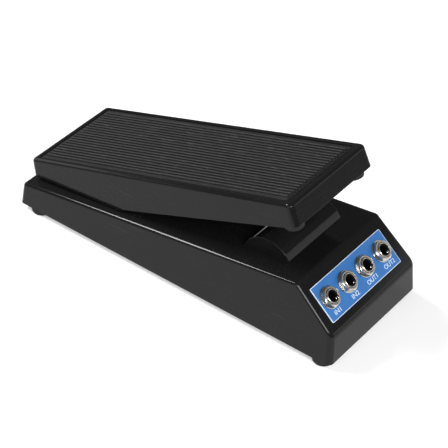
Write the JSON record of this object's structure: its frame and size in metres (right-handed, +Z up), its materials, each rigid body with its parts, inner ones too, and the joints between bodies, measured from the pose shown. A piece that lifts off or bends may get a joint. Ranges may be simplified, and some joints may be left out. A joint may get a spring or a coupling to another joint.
{
  "type": "guitar effects pedal",
  "caption": "Stereo volume and expression treadle pedal: ribbed rocking treadle, gear-driven potentiometer, sloping blue panel with phone jacks.",
  "frame": {"origin": "middle of the footprint, on the plane the rubber feet stand on", "axes": "+X towards the toe end with the jack panel, +Y to the far side, +Z up; rest is heel down"},
  "size_m": [0.2546, 0.099, 0.1037],
  "materials": {
    "housing_black": "glossy moulded black ABS with faint handling scratches",
    "treadle_black": "satin-gloss moulded black ABS, edges slightly brighter",
    "mat_black": "matte ribbed black tread",
    "rubber": "matte black rubber",
    "steel": "zinc-plated pressed steel",
    "steel_screws": "zinc-plated screws",
    "plated": "bright plated steel",
    "nickel": "nickel-plated brass, warm",
    "nylon": "natural nylon",
    "label_blue": "satin blue printed plate with a pale edge line",
    "jack_plastic": "black moulded jack frame",
    "board": "green circuit board"
  },
  "bodies": {
    "base": {"base_housing": "housing_black", "bottom_cover": "steel", "label_plate": "label_blue", "jack_board": "board", "cover_screw_near": "steel_screws", "hinge_screw_near": "steel_screws", "hinge_bush_near": "nylon", "cover_screw_far": "steel_screws", "hinge_screw_far": "steel_screws", "hinge_bush_far": "nylon", "foot_heel_near": "rubber", "foot_screw_heel_near": "steel_screws", "foot_heel_far": "rubber", "foot_screw_heel_far": "steel_screws", "foot_toe_near": "rubber", "foot_screw_toe_near": "steel_screws", "foot_toe_far": "rubber", "foot_screw_toe_far": "steel_screws", "jack_1_body": "jack_plastic", "jack_1_sleeve": "nickel", "jack_1_washer": "nickel", "jack_1_nut": "nickel", "jack_2_body": "jack_plastic", "jack_2_sleeve": "nickel", "jack_2_washer": "nickel", "jack_2_nut": "nickel", "jack_3_body": "jack_plastic", "jack_3_sleeve": "nickel", "jack_3_washer": "nickel", "jack_3_nut": "nickel", "jack_4_body": "jack_plastic", "jack_4_sleeve": "nickel", "jack_4_washer": "nickel", "jack_4_nut": "nickel", "hinge_bracket": "steel", "pot_body": "plated", "pot_nut": "nickel", "pot_bracket": "steel", "pot_screw_heel": "steel_screws", "pot_screw_toe": "steel_screws"},
    "treadle": {"treadle_shell": "treadle_black", "tread_mat": "mat_black", "toe_bumper_near": "rubber", "toe_bumper_far": "rubber", "heel_bumper_near": "rubber", "heel_bumper_far": "rubber", "sector_arm": "steel", "sector_screw_near": "steel_screws", "sector_screw_far": "steel_screws", "pivot_shaft": "plated", "shaft_clip_near": "plated", "shaft_clip_far": "plated", "shaft_strap_near": "steel", "shaft_strap_far": "steel", "strap_screw_near_heel": "steel_screws", "strap_screw_near_toe": "steel_screws", "strap_screw_far_heel": "steel_screws", "strap_screw_far_toe": "steel_screws"},
    "pot_rotor": {"pinion": "nylon", "pot_shaft": "plated"}
  },
  "joints": [
    {"name": "treadle_tilt", "type": "hinge", "parent": "base", "child": "treadle", "pos_m": [-0.0519, 0, 0.0434], "axis": [0, 1, 0], "range_deg": [0, 12.6]},
    {"name": "pot_turn", "type": "hinge", "parent": "base", "child": "pot_rotor", "pos_m": [0.0601, 0, 0.0434], "axis": [0, 1, 0], "range_deg": [-207.9, 0]}
  ],
  "couplings": [
    {"joint": "pot_turn", "follows": "treadle_tilt", "ratio": -16.5}
  ]
}
